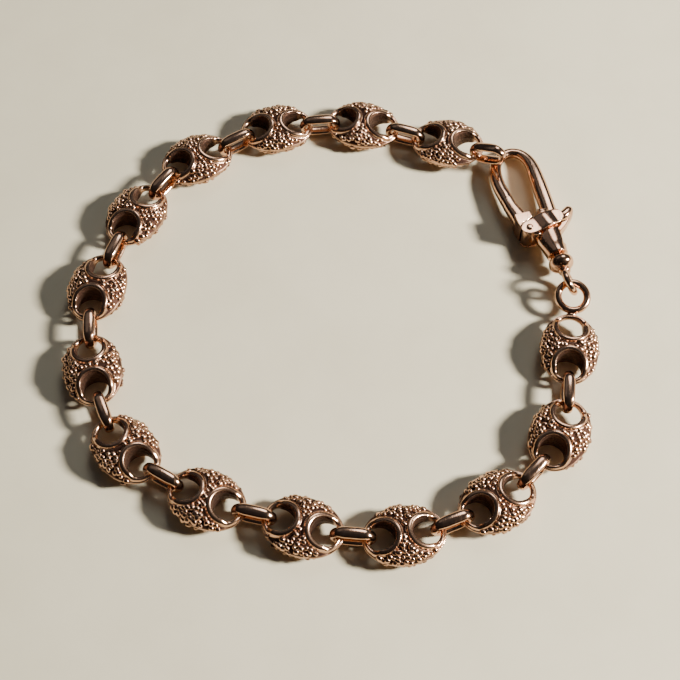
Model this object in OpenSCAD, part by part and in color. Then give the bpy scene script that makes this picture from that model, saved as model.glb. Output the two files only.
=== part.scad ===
// Watch chain of fourteen pierced, domed links on edgewise oval connectors,
// with a swivelling dog clip. It lies on a flat surface in a loop, ready to close.

/* [Main links] */
// Length of a link over its two ends
link_l = 11.5; // [11.2:0.1:12]
// Width of a link
link_w = 8.4; // [7.8:0.1:9]
// Thickness over the two domes, at the middle
link_t = 4.2; // [4:0.05:4.3]
// Radius of each dome
dome_r = 9.25; // [9:0.25:11]
// Height of the smooth rims above the textured domes
rim_rise = 0.15; // [0.05:0.05:0.2]
// Radius of the two round holes
hole_r = 2; // [1.9:0.05:2.05]
// Distance between the two holes of a link
hole_gap = 6.1; // [6:0.05:6.2]
// Height of the slim hoop at each end of a link
hoop_h = 1.2; // [1:0.05:1.3]

/* [Connectors] */
// Distance between the facing holes of two neighbouring links
facing_gap = 7.8; // [7.6:0.1:8]
// Radius of the space inside each end of a connector
bend_r = 0.85; // [0.85:0.01:0.9]
// Thickness of the connector wire
wire_t = 0.85; // [0.75:0.05:0.9]
// Width of the connector wire
wire_w = 1.7; // [1.4:0.1:1.8]

/* [Dog clip] */
// Length of the barrel
barrel_l = 8.4; // [8.2:0.1:8.6]
// Radius of the barrel at its widest
barrel_r = 2.2; // [2.1:0.05:2.25]
// Radius of the barrel at its neck
neck_r = 1.6; // [1.5:0.05:1.7]
// Radius of the bend at the top of the hook
crown_bend = 3.05; // [3:0.05:3.1]
// Radius of the wire at the top of the hook
crown_r = 0.75; // [0.7:0.05:0.8]
// Radius of the straight arm, where it leaves the barrel
arm_r = 1.2; // [1.1:0.05:1.25]
// Lowering of the hook end, in degrees
clip_tilt = 4.5; // [4:0.5:5]

/* [Swivel and ring] */
// Radius of the swivel's round bead
bead_r = 1.75; // [1.6:0.05:1.8]
// Radius of the swivel's eye, to the middle of its wire
eye_r = 1.7; // [1.65:0.05:1.75]
// Radius of the eye's wire
eye_wire = 0.55; // [0.5:0.05:0.55]
// Turn of the eye about the length of the clip, in degrees
eye_turn = 65; // [65:5:80]
// Radius of the end ring, to the middle of its wire
ring_r = 2.15; // [2.1:0.05:2.2]
// Radius of the end ring's wire
ring_wire = 0.575; // [0.5:0.025:0.575]

/* [Layout] */
// Direction of the clip, from the swivel to the hook, in degrees
clip_dir = 105; // [103:1:107]
// How far the last link is raised towards the hook, in degrees
link_lift = 4; // [4:1:6]
// How far the last connector is raised from the last link, to lie over the hook, in degrees
last_lift = 23; // [22:1:30]

/* [Hidden] */
$fn = 64;
links = 14;
// direction in which each link and each connector lies, going round from the swivel
link_dir = [-97, -116, -150, -172, -198, -205, -226, -257, -284, -299, -333, -350, -370, -376];
join_dir = [-96, -133, -158, -185, -193, -210, -248, -266, -290, -306, -329, -355, -378, -390];

chain_z = link_t / 2;
clip_z = barrel_r;
tip_r = link_l / 2 - hole_gap / 2;
hoop_mid = (hole_r + tip_r) / 2;
collar_r = hole_r + 0.45;
seat_turn = 62;
join_half = (facing_gap - 2 * hoop_mid) / 2;
tilt_y = 8.2;
flat_z = 1.52;
cheek_z = 1.6;
lug_z = 1.95;
strap_rise = 0.15;
tab_z = 1.75;
rivet_r = 0.5;
rivet_at = [-2.9, 5];
crown_at = [-1.1, 17.7];
gate_reach = 7.1;
stem_r = 0.8;
bore_r = 0.85;
chamber_r = 1.15;
chamber_y = 0.9;
eye_y = -4.95;
neck_at = [34.2, 9.5];
ring_drop = 2.3;
ring_z = 2.9;
ring_pitch = 12;
ring_to_hole = 5.38;
ring_dir = -82;

function way(a) = [cos(a), sin(a)];
eye_at = neck_at + eye_y * way(clip_dir);
ring_at = eye_at + ring_drop * way(ring_dir);
// centre of the hole of link i that is nearer the swivel, and of the other one
function hole_in(i) = i == 0
    ? ring_at + ring_to_hole * way(link_dir[0])
    : hole_out(i - 1) + facing_gap * way(join_dir[i - 1]);
function hole_out(i) = hole_in(i) + hole_gap * way(link_dir[i]);

// a domed oval blank, rise is how far its domes stand above the textured ones
module blank(rise) {
    half = link_t / 2 - rim_rise + rise;
    intersection() {
        linear_extrude(height = link_t + 1, center = true)
            polygon([for (a = [0 : 9 : 351]) [link_l / 2 * cos(a), link_w / 2 * sin(a)]]);
        translate([0, 0, half - dome_r]) sphere(dome_r);
        translate([0, 0, dome_r - half]) sphere(dome_r);
    }
}

module main_link() {
    difference() {
        union() {
            difference() {
                union() {
                    blank(0);
                    for (s = [-1, 1])
                        intersection() {
                            translate([s * hole_gap / 2, 0, 0])
                                cylinder(h = link_t, r = collar_r, center = true);
                            translate([0, 0, link_t / 2 - dome_r]) sphere(dome_r);
                            translate([0, 0, dome_r - link_t / 2]) sphere(dome_r);
                        }
                }
                // seats for the connectors, above and below each end
                for (e = [0, 180]) for (f = [0, 180])
                    rotate([f, 0, e]) translate([hole_gap / 2, 0, 0])
                        rotate([0, 0, -seat_turn]) rotate_extrude(angle = 2 * seat_turn)
                            translate([1, hoop_h / 2 - 0.08]) square([4, 3]);
            }
            for (s = [-1, 1])
                translate([s * hole_gap / 2, 0, 0]) cylinder(h = hoop_h, r = tip_r, center = true);
        }
        for (s = [-1, 1])
            translate([s * hole_gap / 2, 0, 0]) cylinder(h = link_t + 2, r = hole_r, center = true);
    }
}

// the last link turns up a little about the bend of the connector that holds it
module raised(i) {
    at = [each hole_in(links - 1) - hoop_mid * way(join_dir[links - 2]), chain_z];
    a = join_dir[links - 2];
    translate(at) rotate([0, 0, a]) rotate([0, i == links - 1 ? -link_lift : 0, 0])
        rotate([0, 0, -a]) translate(-at)
            children();
}

module place_link(i) {
    color([0.72, 0.45, 0.34])
        raised(i) translate([each hole_in(i), chain_z])
            rotate([0, 0, link_dir[i]])
                translate([hole_gap / 2, 0, 0]) main_link();
}

// section of the connector wire: y is its width, x runs outwards
module wire_section() {
    c = 0.25;
    x = wire_t;
    y = wire_w / 2;
    polygon([[0, c - y], [c, -y], [x - c, -y], [x, c - y], [x, y - c], [x - c, y], [c, y], [0, y - c]]);
}

// oval connector on edge, its length along x and its near bend centred on the origin
module oval_connector() {
    rotate([90, 0, 0]) {
        for (e = [0, 1])
            translate([e * 2 * join_half, 0, 0])
                rotate([0, 0, 90 - 180 * e])
                    rotate_extrude(angle = 180) translate([bend_r, 0]) wire_section();
        for (s = [0, 180])
            translate([join_half, 0, 0]) rotate([s, 0, 0]) rotate([90, 0, 90])
                linear_extrude(height = 2 * join_half, center = true)
                    translate([bend_r, 0]) wire_section();
    }
}

module place_connector(i) {
    lift = i == links - 1 ? last_lift : 0;
    color([0.78, 0.5, 0.38])
        raised(i) translate([each hole_out(i), chain_z])
            rotate([0, 0, join_dir[i]])
                translate([hoop_mid, 0, 0]) rotate([0, -lift, 0]) oval_connector();
}

module end_ring() {
    color([0.78, 0.5, 0.38])
        translate([each ring_at, ring_z])
            rotate([0, 0, ring_dir + 180]) rotate([0, -ring_pitch, 0]) rotate_extrude() translate([ring_r, 0]) circle(ring_wire);
}

// clip frame: y from the neck of the barrel to the hook, z up
module clip_frame() {
    translate([each neck_at, clip_z])
        rotate([0, 0, clip_dir - 90])
            translate([0, tilt_y, 0]) rotate([-clip_tilt, 0, 0]) translate([0, -tilt_y, 0])
                children();
}

// a straight round bar from a to b in the clip frame
module bar(a, b, r1, r2) {
    d = b - a;
    translate([a[0], a[1], 0])
        rotate([0, 0, atan2(d[1], d[0])]) rotate([0, 90, 0])
            cylinder(h = norm(d), r1 = r1, r2 = r2);
}

module barrel_solid() {
    rotate([-90, 0, 0]) rotate_extrude()
        polygon([[0, 0], [neck_r, 0], [barrel_r, 2.8], [barrel_r, 6.8], [1.8, 7.9], [1.2, barrel_l],
                 [0, barrel_l]]);
    // lug that carries the gate
    translate([rivet_at[0], rivet_at[1], 0]) cylinder(h = 2 * flat_z, r = 1.15, center = true);
    linear_extrude(height = 2 * flat_z, center = true)
        polygon([[-3.7, 3.6], [-1.5, 2.8], [-0.8, 5.9], [-2.9, 5.9], [-3.9, 5.4]]);
}

module hook_wire() {
    right = [crown_at[0] + crown_bend, crown_at[1]];
    left = [crown_at[0] - crown_bend, crown_at[1]];
    bar([1.35, 6.6], right, arm_r, crown_r);
    difference() {
        bar(left, [-3.95, 11.4], crown_r, 1.08);
        translate([rivet_at[0], rivet_at[1], 0]) cylinder(h = 6, r = gate_reach + 0.08, center = true);
    }
    translate([crown_at[0], crown_at[1], 0])
        rotate_extrude(angle = 180) translate([crown_bend, 0]) circle(crown_r);
    for (at = [left, right]) translate([at[0], at[1], 0]) sphere(crown_r + 0.04);
}

module hook_body() {
    color([0.76, 0.47, 0.36]) clip_frame() difference() {
        union() {
            barrel_solid();
            hook_wire();
        }
        // flats under the two cheeks of the gate, swept as it opens
        for (s = [-1, 1])
            translate([0, 0, s * (flat_z + 1)])
                linear_extrude(height = 2, center = true)
                    polygon([[-5, 3.3], [-2.9, 3.5], [0.1, 2.65], [4, 2.2], [5, 9], [-5, 9]]);
        // room for the gate's root beside the arm
        translate([-3.35, 7.8, 0]) cube([6, 3.64, 5], center = true);
        // chamber and slot for the thumb tab and its spring
        translate([0, chamber_y, 0]) rotate([-90, 0, 0]) cylinder(h = 3.6, r = chamber_r);
        translate([1.9, 4.3, 0]) cube([3.6, 5.9, 2.2], center = true);
        // bore of the swivel stem
        translate([0, -1, 0]) rotate([-90, 0, 0]) cylinder(h = 3, r = bore_r);
        translate([rivet_at[0], rivet_at[1], 0]) cylinder(h = 8, r = rivet_r + 0.05, center = true);
    }
}

module cheek_outline() {
    translate(rivet_at) circle(1.2);
    polygon([[-2.7, 3.85], [0.8, 4.5], [2.3, 5.15], [2.6, 6.2], [2.4, 7.2], [1.6, 7.45], [-0.4, 7.2],
             [-1.75, 6.7], [-2.1, 7.5], [-4.2, 7.5], [-4.05, 5]]);
}

module gate_lever() {
    color([0.76, 0.47, 0.36]) clip_frame() difference() {
        union() {
            // the two cheeks, flat at the rivet and rounded over the barrel
            for (s = [-1, 1]) {
                translate([0, 0, s * (cheek_z + lug_z) / 2])
                    linear_extrude(height = lug_z - cheek_z, center = true) cheek_outline();
                intersection() {
                    translate([0, 0, s * (cheek_z + 0.5)])
                        linear_extrude(height = 1, center = true) cheek_outline();
                    translate([0, 3, 0]) rotate([-90, 0, 0])
                        cylinder(h = 5.5, r = barrel_r + (s > 0 ? strap_rise : 0));
                }
            }
            // the arm of the gate
            linear_extrude(height = 2.1, center = true) intersection() {
                polygon([[-4.9, 7.9], [-5.1, 13], [-2.85, 13], [-2.85, 12], [-2.45, 9.9], [-1.6, 7.9],
                         [-1.85, 6.85], [-4.4, 6.85]]);
                translate(rivet_at) circle(gate_reach);
            }
            linear_extrude(height = 2 * lug_z, center = true)
                polygon([[-4.4, 7.7], [-1.95, 7.7], [-1.85, 6.85], [-4.3, 6.85]]);
            // the thumb tab
            linear_extrude(height = 2 * tab_z, center = true)
                polygon([[2.25, 5.2], [3.3, 5.3], [4.1, 5.9], [4.65, 7.1], [4.4, 7.6], [3.6, 7.4], [2.9, 7.05],
                         [2.25, 7.1]]);
            linear_extrude(height = 1.9, center = true)
                polygon([[1.2, 4.2], [1.7, 3.7], [3.8, 5.5], [3, 6.8], [2.2, 6.2]]);
        }
        translate([rivet_at[0], rivet_at[1], 0]) cylinder(h = 8, r = rivet_r, center = true);
    }
}

module gate_rivet() {
    color([0.7, 0.43, 0.33]) clip_frame()
        translate([rivet_at[0], rivet_at[1], 0]) cylinder(h = 2 * barrel_r, r = rivet_r, center = true);
}

// flat spring seated in the chamber, under the tab
module gate_spring() {
    color([0.55, 0.55, 0.55]) clip_frame()
        linear_extrude(height = 1, center = true)
            polygon([[-0.95, 1.45], [0.3, 1.4], [0.3, 1.55], [-0.75, 1.6], [-0.75, 4.2], [-0.95, 4.2]]);
}

module stem_head() {
    color([0.7, 0.43, 0.33]) clip_frame()
        translate([0, chamber_y + 0.05, 0]) rotate([-90, 0, 0])
            difference() {
                cylinder(h = 0.4, r = chamber_r - 0.07);
                translate([0, 0, -1]) cylinder(h = 3, r = stem_r);
            }
}

module swivel_bead() {
    color([0.76, 0.47, 0.36]) clip_frame()
        rotate([-90, 0, 0]) difference() {
            rotate_extrude() polygon([[0, -2.65], [0.95, -2.65], [1.7, -2.3], [bead_r, -1.95],
                [1.45, -1.65], [bead_r - 0.1, -1.2], [1.6, -0.7], [1.15, -0.15], [0, -0.15]]);
            translate([0, 0, -4]) cylinder(h = 6, r = stem_r);
        }
}

module swivel_bail() {
    color([0.76, 0.47, 0.36]) clip_frame() {
        translate([0, eye_y, 0]) rotate([0, eye_turn, 0])
            rotate_extrude() translate([eye_r, 0]) circle(eye_wire);
        translate([0, eye_y + eye_r, 0]) rotate([-90, 0, 0])
            cylinder(h = chamber_y + 0.45 - eye_y - eye_r, r = stem_r);
    }
}

place_link(0);  // link_01
place_link(1);  // link_02
place_link(2);  // link_03
place_link(3);  // link_04
place_link(4);  // link_05
place_link(5);  // link_06
place_link(6);  // link_07
place_link(7);  // link_08
place_link(8);  // link_09
place_link(9);  // link_10
place_link(10);  // link_11
place_link(11);  // link_12
place_link(12);  // link_13
place_link(13);  // link_14
place_connector(0);  // connector_01
place_connector(1);  // connector_02
place_connector(2);  // connector_03
place_connector(3);  // connector_04
place_connector(4);  // connector_05
place_connector(5);  // connector_06
place_connector(6);  // connector_07
place_connector(7);  // connector_08
place_connector(8);  // connector_09
place_connector(9);  // connector_10
place_connector(10);  // connector_11
place_connector(11);  // connector_12
place_connector(12);  // connector_13
place_connector(13);  // connector_14
end_ring();
swivel_bail();
swivel_bead();
stem_head();
hook_body();
gate_lever();
gate_rivet();
gate_spring();
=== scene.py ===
# Pocket watch chain with a dog clip: cast nugget links, polished connectors, swivel clip
import bpy
import bmesh
import math
from mathutils import Matrix, Vector


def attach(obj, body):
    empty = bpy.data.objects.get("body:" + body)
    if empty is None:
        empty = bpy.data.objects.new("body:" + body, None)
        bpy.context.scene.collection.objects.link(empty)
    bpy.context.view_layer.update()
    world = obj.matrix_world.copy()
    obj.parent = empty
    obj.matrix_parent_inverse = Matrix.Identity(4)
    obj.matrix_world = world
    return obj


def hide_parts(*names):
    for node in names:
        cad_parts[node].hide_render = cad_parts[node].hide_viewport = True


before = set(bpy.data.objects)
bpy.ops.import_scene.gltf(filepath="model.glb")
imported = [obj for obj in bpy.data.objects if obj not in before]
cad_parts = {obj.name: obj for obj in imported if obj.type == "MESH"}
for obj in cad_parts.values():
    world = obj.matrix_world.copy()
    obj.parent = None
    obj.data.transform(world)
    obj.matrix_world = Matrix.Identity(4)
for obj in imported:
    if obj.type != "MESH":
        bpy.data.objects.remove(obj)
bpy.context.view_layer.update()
mm = 0.001      # the pieces are modelled in millimetres


# node helpers
class Wire:
    # a node's output that can be added, multiplied and so on
    def __init__(self, graph, socket):
        self.graph = graph
        self.socket = socket

    def sums(self, kind, first, second):
        return self.graph.add(self.graph.mathType, {"operation": kind}, [first, second])

    def __add__(self, other):
        return self.sums("ADD", self, other)

    def __radd__(self, other):
        return self.sums("ADD", other, self)

    def __sub__(self, other):
        return self.sums("SUBTRACT", self, other)

    def __rsub__(self, other):
        return self.sums("SUBTRACT", other, self)

    def __mul__(self, other):
        return self.sums("MULTIPLY", self, other)

    def __rmul__(self, other):
        return self.sums("MULTIPLY", other, self)

    def __truediv__(self, other):
        return self.sums("DIVIDE", self, other)

    def clamp(self):
        return self.graph.add("ShaderNodeClamp", {}, [self, 0.0, 1.0])


class Graph:
    mathType = "ShaderNodeMath"

    def __init__(self, tree):
        self.tree = tree

    def add(self, kind, settings, sockets, out=0):
        node = self.tree.nodes.new(kind)
        for name, value in settings.items():
            if name == "stops":
                ramp = node.color_ramp
                while len(ramp.elements) < len(value):
                    ramp.elements.new(0.5)
                for element, (place, colour) in zip(ramp.elements, value):
                    element.position = place
                    element.color = (*colour, 1)
            else:
                setattr(node, name, value)
        pairs = sockets.items() if isinstance(sockets, dict) else enumerate(sockets)
        for key, value in pairs:
            if value is None:
                continue
            if isinstance(value, Wire):
                self.tree.links.new(value.socket, node.inputs[key])
            else:
                node.inputs[key].default_value = value
        node.location = (220 * (len(self.tree.nodes) % 12), -260 * (len(self.tree.nodes) // 12))
        return Wire(self, node.outputs[out]) if len(node.outputs) else None

    def mixColour(self, factor, first, second):
        colours = [c if isinstance(c, Wire) else (*c, 1) for c in (first, second)]
        return self.add("ShaderNodeMix", {"data_type": "RGBA"},
                        {0: factor, 6: colours[0], 7: colours[1]}, out=2)

    def noise(self, where, scale, detail, rough):
        return self.add("ShaderNodeTexNoise", {"noise_dimensions": "3D"},
                        {"Vector": where, "Scale": scale, "Detail": detail, "Roughness": rough})


def newMaterial(name):
    material = bpy.data.materials.new(name)
    material.use_nodes = True
    tree = material.node_tree
    tree.nodes.clear()
    return material, Graph(tree)


def finishMaterial(graph, sockets):
    shader = graph.add("ShaderNodeBsdfPrincipled", {}, sockets)
    graph.add("ShaderNodeOutputMaterial", {}, {"Surface": shader})


# materials; the scales of noise are in cells to a metre
goldLook = {
    "rose": (0.67, 0.400, 0.255),       # polished rose gold
    "paler": (0.85, 0.605, 0.43),
    "redder": (0.50, 0.270, 0.165),     # where skin oil has toned it
    "shadeAndGrit": (0.05, 0.025, 0.018),    # painted shade in the hollows and under the lumps, also the colour of dark grit
}
wireLook = {"roughness": 0.10, "scratch": 0.22, "tone": 240.0}
clipLook = {"roughness": 0.09, "scratch": 0.30, "tone": 200.0}
hairLook = {
    "leans": ((0.4, 5200.0), (1.9, 4300.0)),    # turn in radians, scale
    "stretch": (1.0, 0.06, 0.35),
    "from": 0.56, "slope": 6.0,
    "deep": 0.00002,                    # metres
}
castLook = {
    "tone": 420.0, "grit": 5200.0, "cells": 2600.0,
    "roughness": 0.14, "shadeAndGritRough": 0.45, "gritRough": 0.10,
    "deep": 0.00005,
}
steelLook = {"dark": (0.32, 0.33, 0.35), "light": (0.52, 0.52, 0.53), "grain": 6000.0, "roughness": 0.28}


def polishedGold(name, look):
    material, g = newMaterial(name)
    place = g.add("ShaderNodeTexCoord", {}, [], out=3)
    tone = g.noise(place, look["tone"], 4.0, 0.6)
    cloud = g.noise(place, look["tone"] * 4.5, 3.0, 0.55)
    # hairline scratches run a little more one way than the other
    hairs = []
    for lean, scale in hairLook["leans"]:
        lie = g.add("ShaderNodeMapping", {}, {"Vector": place, "Rotation": (0.3, lean, lean * 2),
                                              "Scale": hairLook["stretch"]})
        hair = g.noise(lie, scale, 2.0, 0.5)
        hairs.append(((hair - hairLook["from"]) * hairLook["slope"]).clamp())
    scratches = hairs[0] + hairs[1]
    toned = ((tone - 0.42) * 3.0).clamp()
    base = g.mixColour(toned, goldLook["rose"], goldLook["redder"])
    base = g.mixColour(((cloud - 0.5) * 2.2).clamp(), base, goldLook["paler"])
    rough = look["roughness"] + 0.06 * toned + look["scratch"] * 0.30 * scratches + 0.05 * cloud
    bump = g.add("ShaderNodeBump", {}, {"Strength": 0.12, "Distance": hairLook["deep"],
                                       "Height": scratches * -1.0 + cloud * 0.8})
    finishMaterial(g, {"Base Color": base, "Roughness": rough, "Metallic": 1.0, "Normal": bump})
    return material


def nuggetGold(name, look):
    # painted shade: the lumps stay bright on top, while their undersides and the floor between them are
    # painted dark
    material, g = newMaterial(name)
    place = g.add("ShaderNodeTexCoord", {}, [], out=3)
    hollow = g.add("ShaderNodeAttribute", {"attribute_name": "hollow"}, [], out=2)
    tone = g.noise(place, look["tone"], 4.0, 0.6)
    grit = g.noise(place, look["grit"], 3.0, 0.6)
    cells = g.add("ShaderNodeTexVoronoi", {"feature": "F1"}, {"Vector": place, "Scale": look["cells"]})
    toned = ((tone - 0.4) * 2.6).clamp()
    metal = g.mixColour(toned, goldLook["rose"], goldLook["redder"])
    metal = g.mixColour(((grit - 0.5) * 2.0).clamp(), metal, goldLook["paler"])
    # painted shade from the mask, plus random dark grit
    shadeAndGritAmount = ((hollow * 1.6) + (grit - 0.5) * 0.7 - 0.18).clamp()
    base = g.mixColour(shadeAndGritAmount, metal, goldLook["shadeAndGrit"])
    rough = look["roughness"] + look["shadeAndGritRough"] * shadeAndGritAmount + look["gritRough"] * grit
    bump = g.add("ShaderNodeBump", {}, {"Strength": 0.35, "Distance": look["deep"],
                                       "Height": grit * (0.35 + hollow) + cells * hollow * 1.2})
    finishMaterial(g, {"Base Color": base, "Roughness": rough, "Metallic": 1.0, "Normal": bump})
    return material


def springSteel(name, look):
    material, g = newMaterial(name)
    place = g.add("ShaderNodeTexCoord", {}, [], out=3)
    lie = g.add("ShaderNodeMapping", {}, {"Vector": place, "Scale": (1.0, 0.08, 1.0)})
    grain = g.noise(lie, look["grain"], 3.0, 0.6)
    base = g.mixColour(grain, look["dark"], look["light"])
    finishMaterial(g, {"Base Color": base, "Roughness": look["roughness"] + 0.2 * grain, "Metallic": 1.0})
    return material


linkGold = nuggetGold("nuggetGold", castLook)
wireGold = polishedGold("polishedGold", wireLook)
clipGold = polishedGold("clipGold", clipLook)
steel = springSteel("springSteel", steelLook)
print("materials made")


# where the pieces lie, in millimetres and degrees; part.scad lays them the same way
layout = {
    "linkDir": [-97, -116, -150, -172, -198, -205, -226, -257, -284, -299, -333, -350, -370, -376],
    "joinDir": [-96, -133, -158, -185, -193, -210, -248, -266, -290, -306, -329, -355, -378, -390],
    "neck": (34.2, 9.5), "clipDir": 105, "clipTilt": 4.5, "tiltAt": 8.2, "clipHeight": 2.2,
    "eyeAt": -4.95, "ringDrop": 2.3, "ringDir": -82, "ringHeight": 2.9, "ringPitch": 12, "ringToHole": 5.38,
    "holeGap": 6.1, "facingGap": 7.8, "hoopMid": 2.35, "chainHeight": 2.1, "linkLift": 4, "lastLift": 23,
}


def way(degrees):
    return Vector((math.cos(math.radians(degrees)), math.sin(math.radians(degrees)), 0))


def turn(degrees, axis):
    return Matrix.Rotation(math.radians(degrees), 4, axis)


def shift(v):
    return Matrix.Translation(v)


def layChain(lay):
    # each link hangs on the connector before it, going round from the swivel
    up = Vector((0, 0, lay["chainHeight"]))
    neck = Vector((*lay["neck"], 0))
    ring = neck + lay["eyeAt"] * way(lay["clipDir"]) + lay["ringDrop"] * way(lay["ringDir"])
    holesIn, holesOut = [], []
    for i, heading in enumerate(lay["linkDir"]):
        if i == 0:
            holesIn.append(ring + lay["ringToHole"] * way(heading))
        else:
            holesIn.append(holesOut[-1] + lay["facingGap"] * way(lay["joinDir"][i - 1]))
        holesOut.append(holesIn[-1] + lay["holeGap"] * way(heading))
    last = len(holesIn) - 1
    toLast = lay["joinDir"][last - 1]
    pivot = holesIn[last] - lay["hoopMid"] * way(toLast) + up
    # the last link turns up a little about the bend of the connector that holds it
    raised = (shift(pivot) @ turn(toLast, "Z") @ turn(-lay["linkLift"], "Y")
              @ turn(-toLast, "Z") @ shift(-pivot))
    links, joins = [], []
    for i in range(last + 1):
        lifted = raised if i == last else Matrix()
        lift = lay["lastLift"] if i == last else 0
        links.append(lifted @ shift(holesIn[i] + up) @ turn(lay["linkDir"][i], "Z")
                     @ shift(Vector((lay["holeGap"] / 2, 0, 0))))
        joins.append(lifted @ shift(holesOut[i] + up) @ turn(lay["joinDir"][i], "Z")
                     @ shift(Vector((lay["hoopMid"], 0, 0))) @ turn(-lift, "Y"))
    tilt = Vector((0, lay["tiltAt"], 0))
    clip = (shift(neck + Vector((0, 0, lay["clipHeight"]))) @ turn(lay["clipDir"] - 90, "Z")
            @ shift(tilt) @ turn(-lay["clipTilt"], "X") @ shift(-tilt))
    ringPlace = (shift(ring + Vector((0, 0, lay["ringHeight"]))) @ turn(lay["ringDir"] + 180, "Z")
                 @ turn(-lay["ringPitch"], "Y"))
    return links, joins, clip, ringPlace


linkPlaces, joinPlaces, clipPlace, ringPlace = layChain(layout)


# mesh helpers
def meshObject(name, verts, faces, smooth=True):
    mesh = bpy.data.meshes.new(name)
    mesh.from_pydata([tuple(v) for v in verts], [], faces)
    mesh.update()
    obj = bpy.data.objects.new(name, mesh)
    bpy.context.scene.collection.objects.link(obj)
    for face in mesh.polygons:
        face.use_smooth = smooth
    return obj


def tidyNormals(obj, merge=0.0):
    bm = bmesh.new()
    bm.from_mesh(obj.data)
    if merge:
        bmesh.ops.remove_doubles(bm, verts=bm.verts, dist=merge)
    bmesh.ops.recalc_face_normals(bm, faces=bm.faces)
    bm.to_mesh(obj.data)
    bm.free()
    return obj


def bake(obj):
    # the modifiers' result as a plain mesh
    bpy.context.view_layer.update()
    done = bpy.data.meshes.new_from_object(obj.evaluated_get(bpy.context.evaluated_depsgraph_get()))
    obj.modifiers.clear()
    obj.data = done
    return obj


def smoothAll(obj):
    for face in obj.data.polygons:
        face.use_smooth = True
    return obj


def join(name, objs):
    with bpy.context.temp_override(active_object=objs[0], object=objs[0], selected_objects=objs,
                                   selected_editable_objects=objs):
        bpy.ops.object.join()
    objs[0].name = name
    objs[0].data.name = name
    return objs[0]


def dress(obj, body, material, nodes, place):
    # places a piece, gives it its finish and hangs it on its body
    obj.data.transform(Matrix.Scale(mm, 4) @ place)
    obj.data.materials.clear()
    obj.data.materials.append(material)
    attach(obj, body)
    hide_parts(*nodes)


def smoothStep(low, high, value):
    t = min(1.0, max(0.0, (value - low) / (high - low)))
    return t * t * (3 - 2 * t)


def sweep(path, sections):
    # rings of points carried along a path; sections(i) gives (half width, half height, power)
    count = len(path)
    around = 28
    top = Vector((0, 0, 1))
    verts, faces = [], []
    for i, point in enumerate(path):
        before = path[max(i - 1, 0)]
        after = path[min(i + 1, count - 1)]
        along = (after - before).normalized()
        side = Vector((along.y, -along.x, 0)).normalized()
        wide, high, power = sections(i)
        for k in range(around):
            a = 2 * math.pi * k / around
            c, s = math.cos(a), math.sin(a)
            cx = math.copysign(abs(c) ** power, c)
            sy = math.copysign(abs(s) ** power, s)
            verts.append(point + side * wide * cx + top * high * sy)
    for i in range(count - 1):
        for k in range(around):
            a, b = i * around + k, i * around + (k + 1) % around
            faces.append((a, b, b + around, a + around))
    faces.append(tuple(range(around))[::-1])
    faces.append(tuple((count - 1) * around + k for k in range(around)))
    return verts, faces


def spline(points, steps):
    # smooth curve through points of any size
    out = []
    for i in range(len(points) - 1):
        p = [points[max(0, min(len(points) - 1, i + k))] for k in (-1, 0, 1, 2)]
        for s in range(steps):
            t = s / steps
            out.append([0.5 * (2 * b + (c - a) * t + (2 * a - 5 * b + 4 * c - d) * t * t
                               + (3 * b - a - 3 * c + d) * t ** 3) for a, b, c, d in zip(*p)])
    out.append(list(points[-1]))
    return out


def lathe(profile, around):
    # profile of (y, r) turned about the y axis
    verts, faces = [], []
    for y, r in profile:
        for k in range(around):
            a = 2 * math.pi * k / around
            verts.append((r * math.cos(a), y, r * math.sin(a)))
    for i in range(len(profile) - 1):
        for k in range(around):
            a, b = i * around + k, i * around + (k + 1) % around
            faces.append((a, b, b + around, a + around))
    faces.append(tuple(range(around)))
    faces.append(tuple((len(profile) - 1) * around + k for k in range(around))[::-1])
    return verts, faces


def plate(outline, low, high):
    count = len(outline)
    verts = [(x, y, z) for z in (low, high) for x, y in outline]
    faces = [tuple(range(count))[::-1], tuple(range(count, 2 * count))]
    faces += [(k, (k + 1) % count, count + (k + 1) % count, count + k) for k in range(count)]
    return verts, faces


def addBevel(obj, width, segments=3, angle=35, flats=True):
    # rounded edges, with the flats kept flat
    bevel = obj.modifiers.new("softEdges", "BEVEL")
    bevel.width = width
    bevel.segments = segments
    bevel.limit_method = "ANGLE"
    bevel.angle_limit = math.radians(angle)
    smoothAll(obj)
    if flats:
        obj.modifiers.new("flatFaces", "WEIGHTED_NORMAL").weight = 80
    return bake(obj)


def cutWith(obj, cutters):
    for cutter in cutters:
        cut = obj.modifiers.new("cut", "BOOLEAN")
        cut.operation = "DIFFERENCE"
        cut.solver = "EXACT"
        cut.object = cutter
    bake(obj)
    for cutter in cutters:
        bpy.data.objects.remove(cutter)
    return obj


# main links
mainLink = {
    "length": 11.5, "width": 8.4, "thick": 4.2,
    "dome": 9.25,                       # radius of the dome, above and below
    "holeAt": 3.05, "hole": 2.0,
    "rimWide": 0.66, "rimRise": 0.10,
    "rimDrop": 0.16, "rimPower": 2.4,   # how the rim's top rounds off
    "slope": 0.16,                      # width of the step from rim to floor
    "sink": 0.33,                       # the nuggets stand on a floor this far under the dome
    "ledge": 0.13, "bead": 0.05,        # step and bead inside the hole
    # painted shade on the hole walls, the floor round the nuggets, the hole's lip and the outer band
    "wallShade": 0.70, "floorShade": 0.55, "lipShade": 0.22, "bandShade": 0.1,
    "seat": 0.60,                       # half height of the slim hoop at each end
    "hoopTurns": (44, 78),              # the hoop runs out between these angles
    "rollEnd": 0.34, "rollMore": 0.75,  # how far the outer edge rounds in
    "rollTurns": (50, 100),
    "bandHigh": 0.30,                   # half height of the smooth band round the edge
    "bandOut": 0.05,
    "flankTurns": 44, "waistTurns": 16, "edgeRows": 9,
    "nuggetGap": 0.54, "nuggetSmall": 0.29, "nuggetLarge": 0.50,
}


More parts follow.
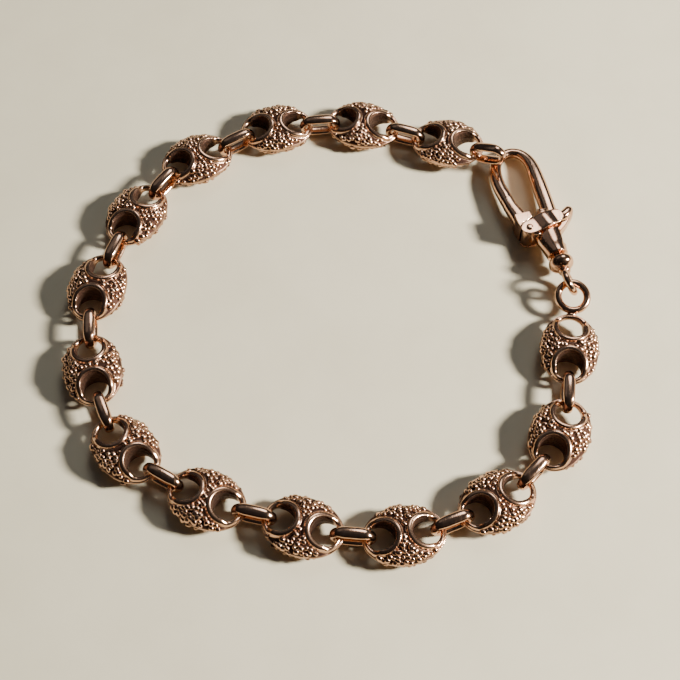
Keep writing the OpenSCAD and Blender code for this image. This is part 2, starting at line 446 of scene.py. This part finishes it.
def linkCore(d):
    # closed body of one link: heights over an oval with two holes, mirrored below;
    # each half is laid out in turns about its own hole
    hx, hr = d["holeAt"], d["hole"]
    a, b = d["length"] / 2, d["width"] / 2
    corner = math.atan2(b, -hx)
    flank, waist = d["flankTurns"], d["waistTurns"]
    turns = [corner * i / flank for i in range(flank + 1)]
    turns += [corner + (math.pi - corner) * i / waist for i in range(1, waist + 1)]
    turns = [-t for t in turns[:0:-1]] + turns[:-1]
    rimSteps = [0, 0.025, 0.07, 0.14, 0.24, 0.35, 0.46, 0.56, 0.64, 0.70, 0.77, 0.86]

    def reach(t):
        # from the hole's middle out to the edge, or to the line where the two halves meet
        if abs(t) > corner - 1e-9:
            return -hx / math.cos(t)
        low, high = 0.0, 9.0
        for _ in range(40):
            mid = (low + high) / 2
            x, y = hx + mid * math.cos(t), mid * math.sin(t)
            if (x / a) ** 2 + (y / b) ** 2 < 1:
                low = mid
            else:
                high = mid
        return low

    def domeTop(x, y):
        return math.sqrt(max(0, d["dome"] ** 2 - x * x - y * y)) - d["dome"] + d["thick"] / 2

    def height(x, y, r, t):
        full = domeTop(x, y)
        out = r - hr
        wide = d["rimWide"]
        lip = 1 - smoothStep(wide - 0.02, wide + d["slope"], out)
        floor = full - d["sink"]
        h = floor + (full + d["rimRise"] - floor) * lip
        # rounded top of the rim
        mid = (out - wide * 0.5) / (wide * 0.5 + 0.06)
        h -= d["rimDrop"] * min(1.0, abs(mid)) ** d["rimPower"] * lip
        hoopFrom, hoopTo = [math.radians(v) for v in d["hoopTurns"]]
        endOn = 1 - smoothStep(hoopFrom, hoopTo, abs(t))
        h = h * (1 - endOn) + min(h, d["seat"]) * endOn
        dist = math.hypot(x, y)
        f = math.sqrt((x / a) ** 2 + (y / b) ** 2)
        edge = dist / f - dist if f > 1e-6 else b
        rollFrom, rollTo = [math.radians(v) for v in d["rollTurns"]]
        roll = d["rollEnd"] + d["rollMore"] * smoothStep(rollFrom, rollTo, abs(t))
        # the outer edge rolls over
        k = max(0.0, 1 - edge / roll)
        h *= math.sqrt(max(0.0, 1 - k * k * 0.9))
        if endOn > 0:
            # the hoop thins towards the hole
            inner = max(0.0, 1 - out / 0.3)
            h *= 1 - endOn * 0.45 * inner ** 2
            h = max(h, 0.2)
        return max(h, d["bandHigh"] * (1 - endOn) + 0.12 * endOn), edge, endOn

    # mask says where nuggets may stand, shade how much painted shade the metal gets
    verts, faces, mask, shade = [], [], [], []
    nT = len(turns)
    for side in (1, -1):            # the two halves of the link
        for face in (1, -1):        # top and bottom
            start = len(verts)
            for t in turns:
                full = reach(t)
                room = full - hr
                squeeze = min(1.0, room / 1.5)
                steps = [s * squeeze for s in rimSteps]
                rest = room - steps[-1]
                edgeRows = d["edgeRows"]
                steps += [steps[-1] + rest * k / edgeRows for k in range(1, edgeRows + 1)]
                nR = len(steps)
                for s in steps:
                    r = hr + s
                    x, y = hx + r * math.cos(t), r * math.sin(t)
                    h, edge, endOn = height(x, y, r, t)
                    verts.append((side * x, side * y, face * h))
                    rimEnd = d["rimWide"] + d["slope"]
                    inRim = smoothStep(rimEnd, rimEnd + 0.10, s)
                    inBand = smoothStep(0.04, 0.18, edge)
                    mask.append(inRim * inBand * (1 - smoothStep(0.2, 0.7, endOn)))
                    # painted shade: full where the nuggets stand, less on the rest of the floor, a little at
                    # the hole's lip
                    lipDark = d["lipShade"] * (1 - smoothStep(0, 0.07, s))
                    shade.append(max(mask[-1], d["floorShade"] * inRim * (1 - endOn), lipDark))
            for i in range(nT):
                j = (i + 1) % nT
                here, there = start + i * nR, start + j * nR
                for k in range(nR - 1):
                    faces.append((here + k, here + k + 1, there + k + 1, there + k))
            if face == 1:
                topStart = start
        # wall of the hole, with a faint bead where the two castings met
        wallRows = [0.96, 0.86, 0.82, 0.77, 0.5, 0.16, 0.06]
        wallRows += [0] + [-row for row in reversed(wallRows)]
        rows = []
        for row in wallRows:
            ids = []
            for i, t in enumerate(turns):
                top = abs(verts[topStart + i * nR][2])
                ledge = d["ledge"] * smoothStep(0.9, 1.5, top) * (1 - smoothStep(0.775, 0.83, abs(row)))
                r = hr - ledge - d["bead"] * math.exp(-(row * top / 0.12) ** 2)
                ids.append(len(verts))
                verts.append((side * (hx + r * math.cos(t)), side * r * math.sin(t), row * top))
                mask.append(0)
                # painted shade on the hole wall, darker where the wall is taller
                shade.append(d["wallShade"] * smoothStep(0.3, 1.2, top))
            rows.append(ids)
        rows.insert(0, [topStart + i * nR for i in range(nT)])
        rows.append([start + i * nR for i in range(nT)])
        for up, down in zip(rows, rows[1:]):
            for i in range(nT):
                j = (i + 1) % nT
                faces.append((up[i], up[j], down[j], down[i]))
        # smooth band round the outside, a little proud in the middle
        onEdge = [i for i, t in enumerate(turns) if abs(t) < corner + 1e-6]
        outer = [topStart + i * nR + nR - 1 for i in range(nT)]
        under = [start + i * nR + nR - 1 for i in range(nT)]
        middle = {}
        for i in onEdge:
            x, y, z = verts[outer[i]]
            out = Vector((x / a ** 2, y / b ** 2, 0)).normalized() * d["bandOut"]
            middle[i] = len(verts)
            verts.append((x + out.x, y + out.y, 0))
            mask.append(0)
            # a little painted shade on the band
            shade.append(d["bandShade"])
        for i, j in zip(onEdge, onEdge[1:]):
            faces.append((outer[i], outer[j], middle[j], middle[i]))
            faces.append((middle[i], middle[j], under[j], under[i]))
    obj = meshObject("linkCore", verts, faces)
    for name, values in (("nugget", mask), ("shade", shade)):
        obj.data.attributes.new(name, "FLOAT", "POINT").data.foreach_set("value", values)
    return tidyNormals(obj, 0.0005)


def newTree(name, inputs):
    # an empty tree, its graph and a wire for each named input
    tree = bpy.data.node_groups.new(name, "GeometryNodeTree")
    for label, kind in inputs:
        tree.interface.new_socket(label, in_out="INPUT", socket_type="NodeSocket" + kind)
    tree.interface.new_socket("Result", in_out="OUTPUT", socket_type="NodeSocketGeometry")
    g = Graph(tree)
    given = tree.nodes.new("NodeGroupInput")
    return tree, g, [Wire(g, given.outputs[i]) for i in range(len(inputs))]


def finishTree(tree, g, shape, material):
    smooth = g.add("GeometryNodeSetShadeSmooth", {}, {"Geometry": shape, "Shade Smooth": True})
    real = g.add("GeometryNodeRealizeInstances", {}, [smooth])
    done = g.add("GeometryNodeSetMaterial", {}, {"Geometry": real, "Material": material})
    tree.links.new(done.socket, tree.nodes.new("NodeGroupOutput").inputs[0])
    return tree


nuggetLook = {
    "density": 14.0,                    # most lumps to a square millimetre before the gap thins them
    "segments": 8, "rings": 6, "uneven": 0.35,
    "flat": (0.62, 0.95), "long": (0.85, 1.25),
}


def nuggetTree(material, look):
    # scatters small cast lumps over the masked parts of a link
    tree, g, given = newTree("nuggets", [("Link", "Geometry"), ("Gap", "Float"), ("Small", "Float"),
                                         ("Large", "Float"), ("Seed", "Int")])
    link, gap, small, large, seed = given
    uneven = look["uneven"]

    def pick(low, high, offset):
        return g.add("FunctionNodeRandomValue", {"data_type": "FLOAT"},
                     {2: low, 3: high, "Seed": seed + offset}, out=1)

    mask = g.add("GeometryNodeInputNamedAttribute", {"data_type": "FLOAT"}, {"Name": "nugget"})
    shade = g.add("GeometryNodeInputNamedAttribute", {"data_type": "FLOAT"}, {"Name": "shade"})
    spread = tree.nodes.new("GeometryNodeDistributePointsOnFaces")
    spread.distribute_method = "POISSON"
    for key, value in (("Mesh", link), ("Distance Min", gap), ("Density Factor", mask), ("Seed", seed)):
        tree.links.new(value.socket, spread.inputs[key])
    spread.inputs["Density Max"].default_value = look["density"]
    points, lie = Wire(g, spread.outputs["Points"]), Wire(g, spread.outputs["Rotation"])
    # one lump: a low ball made uneven, its lower part marked for painted shade
    ball = g.add("GeometryNodeMeshUVSphere", {},
                 {"Segments": look["segments"], "Rings": look["rings"], "Radius": 1.0})
    where = g.add("GeometryNodeInputPosition", {}, [])
    rough = g.add("ShaderNodeTexNoise", {"noise_dimensions": "3D"},
                  {"Vector": where, "Scale": 1.1, "Detail": 1.0}, out=1)
    push = g.add("ShaderNodeVectorMath", {"operation": "MULTIPLY_ADD"},
                 [rough, (uneven * 2,) * 3, (-uneven,) * 3])
    ball = g.add("GeometryNodeSetPosition", {}, {"Geometry": ball, "Offset": push})
    height = g.add("ShaderNodeSeparateXYZ", {}, [g.add("GeometryNodeInputPosition", {}, [])], out=2)
    # painted shade: darker towards the bottom of each lump
    hollow = (0.62 - height * 0.9).clamp()
    ball = g.add("GeometryNodeStoreNamedAttribute", {"data_type": "FLOAT", "domain": "POINT"},
                 {"Geometry": ball, "Name": "hollow", "Value": hollow})
    size = pick(small, large, 3)
    flat = pick(*look["flat"], 5)
    long = pick(*look["long"], 7)
    scale = g.add("ShaderNodeCombineXYZ", {}, [size * long, size, size * flat])
    spinAll = g.add("ShaderNodeCombineXYZ", {}, [0.0, 0.0, pick(0.0, 6.283, 11)])
    lie = g.add("FunctionNodeRotateRotation", {"rotation_space": "LOCAL"},
                {"Rotation": lie, "Rotate By": spinAll})
    lumps = g.add("GeometryNodeInstanceOnPoints", {},
                  {"Points": points, "Instance": ball, "Rotation": lie, "Scale": scale})
    lumps = g.add("GeometryNodeRealizeInstances", {}, [lumps])
    # the link body takes its painted shade from its shade attribute
    body = g.add("GeometryNodeStoreNamedAttribute", {"data_type": "FLOAT", "domain": "POINT"},
                 {"Geometry": link, "Name": "hollow", "Value": shade})
    both = tree.nodes.new("GeometryNodeJoinGeometry")
    tree.links.new(lumps.socket, both.inputs[0])
    tree.links.new(body.socket, both.inputs[0])
    return finishTree(tree, g, Wire(g, both.outputs[0]), material)


def runTree(obj, tree, values):
    modifier = obj.modifiers.new("tree", "NODES")
    modifier.node_group = tree
    for item in tree.interface.items_tree:
        if item.in_out == "INPUT" and item.name in values:
            modifier[item.identifier] = values[item.name]
    return bake(obj)


core = linkCore(mainLink)
nuggets = nuggetTree(linkGold, nuggetLook)
for i, place in enumerate(linkPlaces):
    name = f"link_{i + 1:02d}"
    link = bpy.data.objects.new("chain" + name, core.data.copy())
    bpy.context.scene.collection.objects.link(link)
    runTree(link, nuggets, {"Gap": mainLink["nuggetGap"], "Small": mainLink["nuggetSmall"],
                            "Large": mainLink["nuggetLarge"], "Seed": 17 * i + 5})
    link.name = "goldLink_" + name[-2:]
    dress(link, "first_link" if i == 0 else "chain_" + name[-2:], linkGold, [name], place)
bpy.data.objects.remove(core)
print("links made")


# connectors and rings
connector = {
    "bend": 0.85,                       # radius of the space inside each bend
    "thick": 0.85, "wide": 1.70,        # section of the wire
    "halfStraight": 1.55,
    "endWide": 0.80,                    # share of the width that is left at the bends
    "arch": 0.16,
}


def ovalTree(material):
    # a wire bent to an oval in the x-z plane, narrower at its two bends
    tree, g, given = newTree("bentOval", [(label, "Float") for label in (
        "Bend", "Thickness", "Width", "Half Straight", "End Width", "Arch")])
    bend, thick, wide, half, endWide, arch = given
    radius = bend + thick * 0.5
    box = g.add("GeometryNodeCurvePrimitiveQuadrilateral", {},
                {"Width": (radius + half) * 2, "Height": radius * 2})
    box = g.add("GeometryNodeFilletCurve", {"mode": "POLY"},
                {"Curve": box, "Count": 14, "Radius": radius * 0.999})
    box = g.add("GeometryNodeResampleCurve", {}, {"Curve": box, "Count": 96})
    # the long sides arch a little
    spot = g.add("GeometryNodeInputPosition", {}, [])
    alongX = g.add("ShaderNodeSeparateXYZ", {}, [spot])
    middle = 1.0 - (alongX * alongX) / ((half + radius) * (half + radius))
    arched = g.add("ShaderNodeCombineXYZ", {}, [1.0, 0.94 + middle.clamp() * arch, 1.0])
    arched = g.add("ShaderNodeVectorMath", {"operation": "MULTIPLY"}, [spot, arched])
    box = g.add("GeometryNodeSetPosition", {}, {"Geometry": box, "Position": arched})
    box = g.add("GeometryNodeTransform", {}, {"Geometry": box, "Rotation": (math.pi / 2, 0.0, 0.0)})
    section = g.add("GeometryNodeCurvePrimitiveCircle", {"mode": "RADIUS"},
                    {"Resolution": 28, "Radius": 1.0})
    size = g.add("ShaderNodeCombineXYZ", {}, [wide * 0.5, thick * 0.5, 1.0])
    section = g.add("GeometryNodeTransform", {}, {"Geometry": section, "Scale": size})
    tube = g.add("GeometryNodeCurveToMesh", {},
                 {"Curve": box, "Profile Curve": section, "Fill Caps": False})
    # narrower towards the bends
    where = g.add("GeometryNodeInputPosition", {}, [])
    x = g.add("ShaderNodeSeparateXYZ", {}, [where])
    far = g.add("ShaderNodeMapRange", {"interpolation_type": "SMOOTHSTEP"},
                {"Value": g.add("ShaderNodeMath", {"operation": "ABSOLUTE"}, [x]), "From Min": half * 0.55,
                 "From Max": half + radius, "To Min": 1.0, "To Max": endWide})
    scale = g.add("ShaderNodeCombineXYZ", {}, [1.0, far, 1.0])
    moved = g.add("ShaderNodeVectorMath", {"operation": "MULTIPLY"}, [where, scale])
    tube = g.add("GeometryNodeSetPosition", {}, {"Geometry": tube, "Position": moved})
    return finishTree(tree, g, tube, material)


oval = ovalTree(wireGold)
for i, place in enumerate(joinPlaces):
    name = f"connector_{i + 1:02d}"
    piece = meshObject("goldConnector_" + name[-2:], [(0, 0, 0)], [])
    runTree(piece, oval, {"Bend": connector["bend"], "Thickness": connector["thick"],
                          "Width": connector["wide"], "Half Straight": connector["halfStraight"],
                          "End Width": connector["endWide"], "Arch": connector["arch"]})
    tidyNormals(piece, 0.0001)
    middle = shift(Vector((connector["halfStraight"], 0, 0)))
    dress(piece, "conn_" + name[-2:], wireGold, [name], place @ middle)
print("connectors made")


endRing = {
    "radius": 2.16, "wire": 0.55,
    "solder": (0.42, 0.78, 0.40),       # half sizes of the mound of solder
    "foot": (-5.65, 0, 0.12),           # where it sits on the first link
}


def torus(radius, wire):
    around, tube = 72, 24
    verts, faces = [], []
    for i in range(around):
        a = 2 * math.pi * i / around
        here, there = i * tube, ((i + 1) % around) * tube
        for k in range(tube):
            b = 2 * math.pi * k / tube
            out = radius + wire * math.cos(b)
            verts.append((out * math.cos(a), out * math.sin(a), wire * math.sin(b)))
            faces.append((here + k, there + k, there + (k + 1) % tube, here + (k + 1) % tube))
    return verts, faces


ring = meshObject("wireRing", *torus(endRing["radius"], endRing["wire"]))
drop = bmesh.new()
bmesh.ops.create_icosphere(drop, subdivisions=3, radius=1.0)
solderMesh = bpy.data.meshes.new("solder")
drop.to_mesh(solderMesh)
drop.free()
solder = bpy.data.objects.new("solder", solderMesh)
bpy.context.scene.collection.objects.link(solder)
# a small mound of solder between the ring and the first link
solder.data.transform(Matrix.Diagonal((*endRing["solder"], 1)))
solder.data.transform(shift(ringPlace.inverted() @ (linkPlaces[0] @ Vector(endRing["foot"]))))
endRingPiece = smoothAll(tidyNormals(join("endRing", [ring, solder])))
dress(endRingPiece, "first_link", wireGold, ["end_ring"], ringPlace)


# swivel
swivel = {
    "eyeRadius": 1.7, "eyeWire": 0.53, "eyeTurn": 65,
    # (y, radius) along the clip
    "stem": [(-3.55, 0.05), (-3.5, 0.62), (-3.2, 0.86), (-2.9, 0.98), (-2.6, 0.8), (1.2, 0.8), (1.25, 0.6)],
    "bead": [(-2.72, 0.55), (-2.70, 0.98), (-2.55, 1.16), (-2.40, 1.36), (-2.20, 1.62), (-1.95, 1.79),
             (-1.65, 1.88), (-1.35, 1.89), (-1.05, 1.82), (-0.80, 1.68), (-0.60, 1.48), (-0.47, 1.24),
             (-0.38, 1.14), (-0.24, 1.14), (-0.15, 1.10), (-0.14, 0.55)],
    "head": [(0.95, 0.9), (0.97, 1.02), (1.05, 1.06), (1.22, 1.02), (1.34, 0.86), (1.36, 0.4)],
}

eye = meshObject("eye", *torus(swivel["eyeRadius"], swivel["eyeWire"]))
eye.data.transform(shift(Vector((0, layout["eyeAt"], 0))) @ turn(swivel["eyeTurn"], "Y"))
stem = meshObject("stem", *lathe(swivel["stem"], 40))
bail = smoothAll(tidyNormals(join("swivelBail", [eye, stem])))
dress(bail, "swivel", clipGold, ["swivel_bail"], clipPlace)

beadPiece = tidyNormals(meshObject("swivelBead", *lathe(swivel["bead"], 72)))
dress(beadPiece, "swivel", clipGold, ["swivel_bead"], clipPlace)
headPiece = tidyNormals(meshObject("stemHead", *lathe(swivel["head"], 40)))
dress(headPiece, "swivel", clipGold, ["stem_head"], clipPlace)
print("ring and swivel made")


# hook body
hook = {
    # (y, radius) along the clip
    "barrel": [(0.0, 1.05), (0.0, 1.45), (0.08, 1.60), (0.5, 1.68), (1.4, 1.86), (2.3, 2.05), (3.0, 2.17),
               (4.2, 2.2), (5.6, 2.2), (6.6, 2.17), (7.2, 2.02), (7.7, 1.78), (8.1, 1.5),
               (8.45, 1.15), (8.5, 0.6)],
    "flat": 1.52,                       # half height of the barrel under the gate's cheeks
    # x, y, z and three sizes of what is cut from the barrel
    "rootCut": (-3.35, 7.8, 0, 6, 3.64, 5), "slotCut": (1.9, 4.3, 0, 3.6, 5.9, 2.2),
    # x, y, half width, half height along the arm, the crown and down to the gate
    "wire": [(1.25, 6.0, 1.15, 1.15), (1.42, 7.6, 1.22, 1.20), (1.62, 9.8, 1.22, 1.18),
             (1.80, 12.6, 1.22, 1.12), (1.95, 15.2, 1.16, 1.02), (2.02, 17.4, 1.02, 0.90),
             (1.72, 19.1, 0.90, 0.80), (0.85, 20.4, 0.80, 0.76), (-0.55, 20.95, 0.76, 0.75),
             (-2.00, 20.55, 0.78, 0.75), (-3.20, 19.40, 0.86, 0.76), (-3.88, 17.85, 0.96, 0.80),
             (-4.16, 16.2, 1.02, 0.90), (-4.20, 14.4, 1.05, 0.98), (-4.05, 12.9, 1.07, 1.03),
             (-3.98, 11.3, 1.07, 1.05)],
    "wirePower": 0.92,                  # 1 is an ellipse, less is squarer
    "rivetAt": (-2.9, 5.0),
    "tipReach": 7.18,                   # the hook ends this far from the rivet
    "lug": [(-3.7, 5.3), (-3.5, 4.55), (-2.9, 4.05), (-1.5, 3.5), (-0.8, 5.9), (-2.9, 5.95)],
    "boss": 1.15,
    "lugHalf": 1.52, "bossHalf": 1.5,
    "barrelSoft": 0.08, "lugSoft": 0.42, "bossSoft": 0.12, "wireSoft": 0.06,
}


def boxAt(name, x, y, z, dx, dy, dz):
    corners = [(x - dx / 2, y - dy / 2), (x + dx / 2, y - dy / 2), (x + dx / 2, y + dy / 2),
               (x - dx / 2, y + dy / 2)]
    return meshObject(name, *plate(corners, z - dz / 2, z + dz / 2), smooth=False)


def arc(x, y, r, angles):
    return [(x + r * math.cos(math.radians(a)), y + r * math.sin(math.radians(a))) for a in angles]


def solidPlate(name, outline, half):
    # a closed plate, as high above the middle plane as below it
    return tidyNormals(meshObject(name, *plate(outline, -half, half), smooth=False))


def rod(name, path, power):
    # a rod along (x, y, half width, half height) in the middle plane
    points = [Vector((p[0], p[1], 0)) for p in path]
    return tidyNormals(meshObject(name, *sweep(points, lambda i: (path[i][2], path[i][3], power))))


barrel = tidyNormals(meshObject("barrel", *lathe(spline(hook["barrel"], 3), 96)))
# oval between its ends, lower in z, so that the gate's cheeks pass over it
for vert in barrel.data.vertices:
    slim = smoothStep(-0.5, 2.0, vert.co.y) * (1 - smoothStep(7.6, 8.2, vert.co.y))
    if abs(vert.co.z) > 1e-6:
        outward = math.hypot(vert.co.x, vert.co.z)
        vert.co.z *= 1 + slim * (hook["flat"] / max(outward, hook["flat"]) - 1)
cutWith(barrel, [boxAt("root", *hook["rootCut"]), boxAt("slot", *hook["slotCut"])])
addBevel(barrel, hook["barrelSoft"], 3, 50, False)

lug = addBevel(solidPlate("lug", hook["lug"], hook["lugHalf"]), hook["lugSoft"], 5)
bossEdge = arc(*hook["rivetAt"], hook["boss"], [360 * k / 64 for k in range(64)])
boss = addBevel(solidPlate("boss", bossEdge, hook["bossHalf"]), hook["bossSoft"])

wire = rod("hookWire", spline(hook["wire"], 7), hook["wirePower"])
# the hook's end is cut round the rivet, so that the gate swings clear
reachEdge = [(-1.4, 8.0)] + arc(*hook["rivetAt"], hook["tipReach"], range(78, 131, 2)) + [(-7.6, 8.0)]
cutWith(wire, [solidPlate("reach", reachEdge, 3)])
addBevel(wire, hook["wireSoft"], 2, 50)
hookBody = join("hookBody", [wire, barrel, lug, boss])
dress(hookBody, "clip", clipGold, ["hook_body"], clipPlace)
print("hook made")


# gate, rivet and spring
gate = {
    # x, y, half width along the strap
    "cheek": [(-4.14, 5.02, 0.10), (-4.08, 5.02, 0.42), (-3.9, 5.02, 0.78), (-3.6, 5.03, 1.06),
              (-3.2, 5.06, 1.25), (-2.7, 5.12, 1.32), (-2.0, 5.25, 1.32), (-1.0, 5.48, 1.32),
              (0.2, 5.78, 1.36), (1.3, 6.03, 1.30), (2.0, 6.17, 1.16), (2.45, 6.25, 0.90),
              (2.64, 6.29, 0.55), (2.68, 6.30, 0.12)],
    "cheekPower": 0.42,
    "inside": 1.58, "lug": 1.90,        # the cheek's inner face and the lug's top
    "strapTop": 2.22, "strapUnder": 2.18,
    "root": [(-4.35, 7.9), (-1.95, 7.9), (-1.85, 6.85), (-2.6, 6.4), (-2.9, 6.3), (-3.3, 6.22),
             (-3.75, 5.97), (-4.02, 5.65), (-4.14, 5.3), (-4.34, 6.3)],
    "rootHalf": 1.86,
    # x, y, half width, half height from the root to the tip
    "arm": [(-3.05, 7.0, 1.30, 1.05), (-3.20, 8.0, 1.34, 1.10), (-3.55, 9.4, 1.16, 1.10),
            (-3.86, 10.8, 1.06, 1.08), (-4.02, 12.8, 1.04, 1.05)],
    "armPower": 0.85,
    "armReach": 7.1,                    # the arm ends this far from the rivet
    # the thumb tab, from inside the strap out to its rounded end
    "tab": [(2.0, 6.1, 0.85, 1.62), (2.7, 6.15, 0.95, 1.76), (3.3, 6.35, 0.93, 1.80),
            (3.8, 6.70, 0.88, 1.78), (4.2, 7.08, 0.80, 1.68), (4.48, 7.38, 0.62, 1.40),
            (4.62, 7.54, 0.36, 0.90), (4.66, 7.58, 0.10, 0.30)],
    "tabPower": 0.72,
    "lip": [(1.25, 4.25), (1.7, 3.72), (2.6, 4.35), (3.8, 5.5), (3.1, 6.8), (2.2, 6.2)],
    "lipHalf": 0.95,
    # half of the rivet: how far along, radius
    "rivet": [(1.93, 0.5), (2.0, 0.52), (2.08, 0.44), (2.12, 0.30), (2.12, 0.02)],
    "spring": [(-0.95, 1.45), (0.3, 1.4), (0.3, 1.55), (-0.75, 1.6), (-0.75, 4.2), (-0.95, 4.2)],
    "springHalf": 0.5,
    "rootSoft": 0.34, "lipSoft": 0.15, "armSoft": 0.06, "springSoft": 0.03,
}


def strap(name, side, top):
    # one cheek: a flat lug round the rivet that goes on as a rounded strap over the barrel
    path = spline(gate["cheek"], 8)
    inside, lug = gate["inside"], gate["lug"]
    blend = 14                          # how tightly the strap runs into the lug
    tops = []
    for x, y, wide in path:
        barrelTop = math.sqrt(max(0.0, top * top - x * x))
        tops.append((barrelTop ** blend + lug ** blend) ** (1 / blend) - 0.03)
    points = [Vector((p[0], p[1], side * (inside + high) / 2)) for p, high in zip(path, tops)]

    def section(i):
        return max(path[i][2], 0.02), (tops[i] - inside) / 2, gate["cheekPower"]

    return tidyNormals(meshObject(name, *sweep(points, section)))


cheeks = [strap("cheekTop", 1, gate["strapTop"]), strap("cheekUnder", -1, gate["strapUnder"])]
root = addBevel(solidPlate("root", gate["root"], gate["rootHalf"]), gate["rootSoft"], 4)
tab = rod("tab", spline(gate["tab"], 5), gate["tabPower"])
lip = addBevel(solidPlate("lip", gate["lip"], gate["lipHalf"]), gate["lipSoft"])
arm = rod("gateArm", spline(gate["arm"], 6), gate["armPower"])
beyond = arc(*hook["rivetAt"], gate["armReach"], range(76, 133, 2)) + [(-8, 14), (-1, 14)]
cutWith(arm, [solidPlate("beyond", beyond, 3)])
addBevel(arm, gate["armSoft"], 2, 50)
gateLever = join("gateLever", cheeks + [root, tab, lip, arm])
dress(gateLever, "gate", clipGold, ["gate_lever"], clipPlace)

rivetProfile = [(-y, r) for y, r in reversed(gate["rivet"])] + gate["rivet"]
rivet = tidyNormals(meshObject("gateRivet", *lathe(rivetProfile, 40)))
rivet.data.transform(shift(Vector((*hook["rivetAt"], 0))) @ turn(90, "X"))
dress(rivet, "gate", clipGold, ["gate_rivet"], clipPlace)

spring = addBevel(solidPlate("gateSpring", gate["spring"], gate["springHalf"]), gate["springSoft"], 2)
dress(spring, "clip", steel, ["gate_spring"], clipPlace)
print("gate made")


# floor, light and camera
stageLook = {
    "floor": (0.62, 0.57, 0.42), "floorDark": (0.56, 0.51, 0.37), "floorHalf": 0.58,
    # place, size, power and colour
    "key": ((0.46, -0.05, 0.28), 0.085, 12.6, (1.0, 0.95, 0.88)),
    "fill": ((-0.25, 0.30, 0.45), 0.35, 0.04, (0.93, 0.96, 1.0)),
    "world": 0.85,                      # strength outside the panel
    "panelAt": (0.22, 0.62, 0.753), "panel": 4.6,
    "panelEdge": 0.976, "panelSlope": 90.0,
    "sky": [(0.0, (0.016, 0.014, 0.013)), (0.70, (0.035, 0.037, 0.045)), (0.94, (0.08, 0.085, 0.10)),
            (0.972, (0.40, 0.41, 0.43)), (0.984, (1.0, 1.0, 1.0))],
    "horizon": (0.50, 0.485, 0.45), "bandTop": 0.13, "bandSlope": 9.0,
}

floorMaterial, g = newMaterial("paleFloor")
place = g.add("ShaderNodeTexCoord", {}, [], out=3)
cloud = g.noise(place, 60.0, 5.0, 0.6)
base = g.mixColour(((cloud - 0.4) * 2.2).clamp(), stageLook["floor"], stageLook["floorDark"])
finishMaterial(g, {"Base Color": base, "Roughness": 0.75, "Specular IOR Level": 0.2})
half = stageLook["floorHalf"]
floor = meshObject("floor", [(-half, -half, 0), (half, -half, 0), (half, half, 0), (-half, half, 0)],
                   [(0, 1, 2, 3)], smooth=False)
floor.data.materials.append(floorMaterial)


def softLight(name, place, size, power, colour):
    # a round soft light that looks at the middle of the chain
    light = bpy.data.lights.new(name, "AREA")
    light.shape = "DISK"
    light.size = size
    light.energy = power
    light.color = colour
    obj = bpy.data.objects.new(name, light)
    obj.location = place
    obj.rotation_euler = (-Vector(place)).to_track_quat("-Z", "Y").to_euler()
    bpy.context.scene.collection.objects.link(obj)


softLight("keyLight", *stageLook["key"])
softLight("fillLight", *stageLook["fill"])

world = bpy.data.worlds.new("studio")
bpy.context.scene.world = world
world.use_nodes = True
world.node_tree.nodes.clear()
g = Graph(world.node_tree)
direction = g.add("ShaderNodeTexCoord", {}, [], out=0)
# dim all round, with one bright soft panel high up
panel = g.add("ShaderNodeVectorMath", {"operation": "DOT_PRODUCT"}, [direction, stageLook["panelAt"]], out=1)
sky = g.add("ShaderNodeValToRGB", {"stops": stageLook["sky"]}, [panel])
inPanel = ((panel - stageLook["panelEdge"]) * stageLook["panelSlope"]).clamp()
# a pale band low down, so that the floor runs out into a light wall
height = g.add("ShaderNodeSeparateXYZ", {}, [direction], out=2)
inBand = ((stageLook["bandTop"] - height) * stageLook["bandSlope"]).clamp()
sky = g.mixColour(inBand, sky, stageLook["horizon"])
strength = stageLook["world"] + stageLook["panel"] * inPanel
background = g.add("ShaderNodeBackground", {}, {"Color": sky, "Strength": strength})
g.add("ShaderNodeOutputWorld", {}, {"Surface": background})

view = {
    "target": (1.4, -3.3, 0), "away": 189.88,
    "elevation": 62.3, "lens": 67.98,
}
tilt = math.radians(view["elevation"])
cameraData = bpy.data.cameras.new("camera")
cameraData.lens = view["lens"]
cameraData.sensor_width = 36
cameraData.clip_start = 0.01
camera = bpy.data.objects.new("camera", cameraData)
camera.location = (Vector(view["target"]) + view["away"] * Vector((0, -math.cos(tilt), math.sin(tilt)))) * mm
camera.rotation_euler = (math.pi / 2 - tilt, 0, 0)
bpy.context.scene.collection.objects.link(camera)
bpy.context.scene.camera = camera
print("stage made")

bpy.context.view_layer.update()
